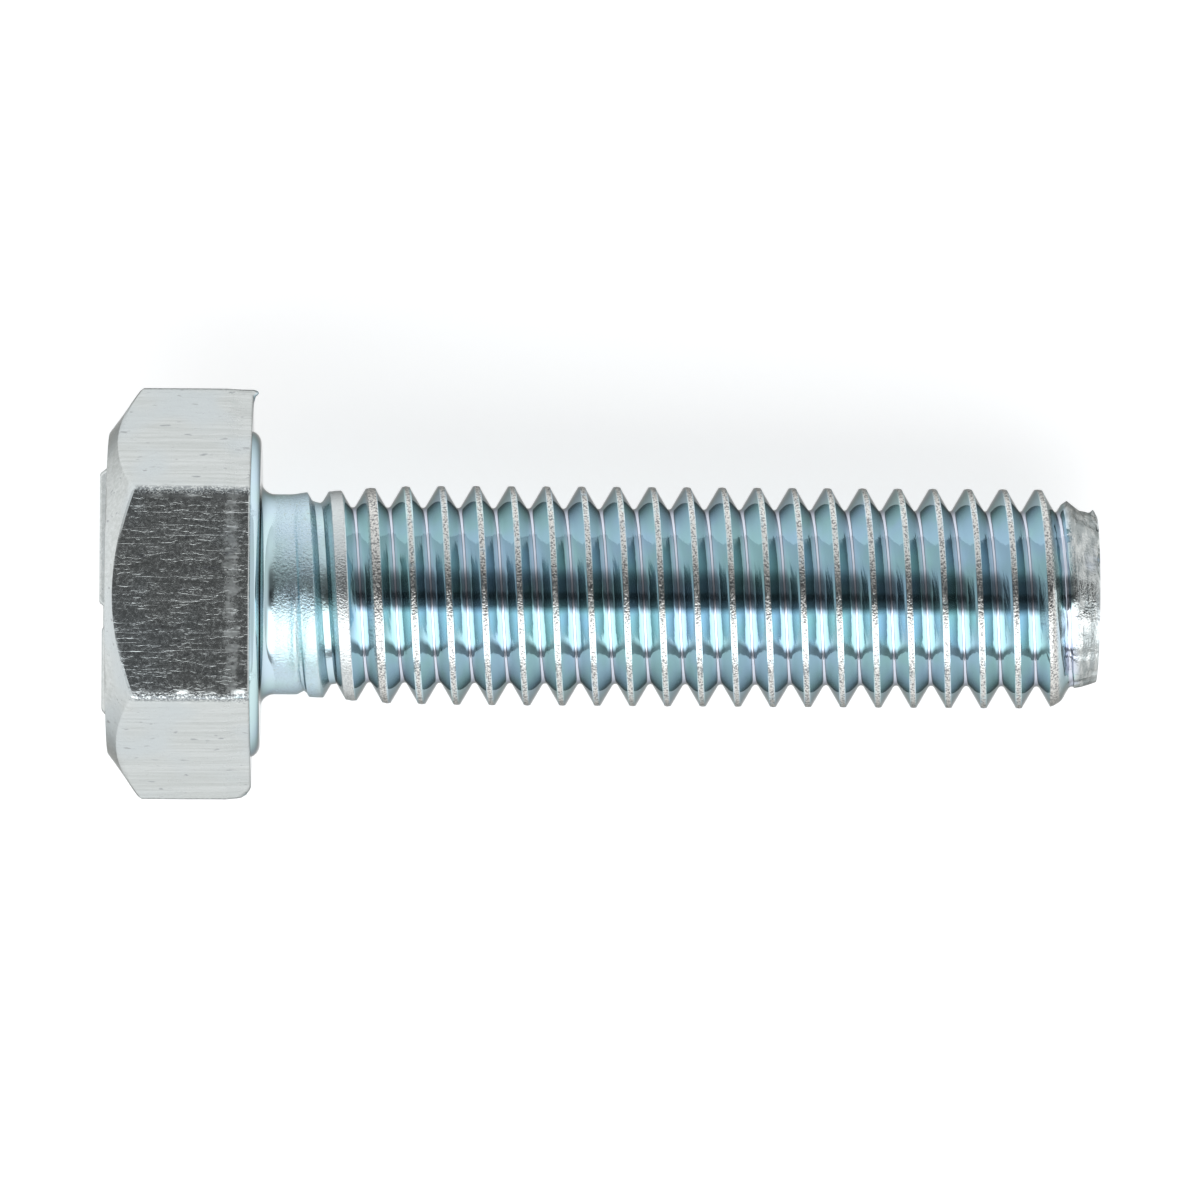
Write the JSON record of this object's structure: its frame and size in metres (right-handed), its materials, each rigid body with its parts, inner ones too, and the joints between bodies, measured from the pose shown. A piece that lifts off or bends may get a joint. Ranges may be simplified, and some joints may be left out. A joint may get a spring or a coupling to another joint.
{
  "type": "hexagon head bolt",
  "caption": "Fully threaded hexagon head bolt in zinc-plated steel, with a chamfered head, a washer face and a chamfered tip.",
  "frame": {"origin": "centre of the bearing face under the head, on the shank's axis", "axes": "+X along the shank's axis from the bearing face towards the tip; +Z out of one wrench flat, with the opposite flat down; +Y through a corner of the hexagon"},
  "size_m": [0.0354, 0.0146, 0.0128],
  "materials": {
    "zinc_plate": "bright zinc plate with a clear blue passivate"
  },
  "bodies": {
    "root": {"hex_bolt": "zinc_plate"}
  },
  "joints": []
}
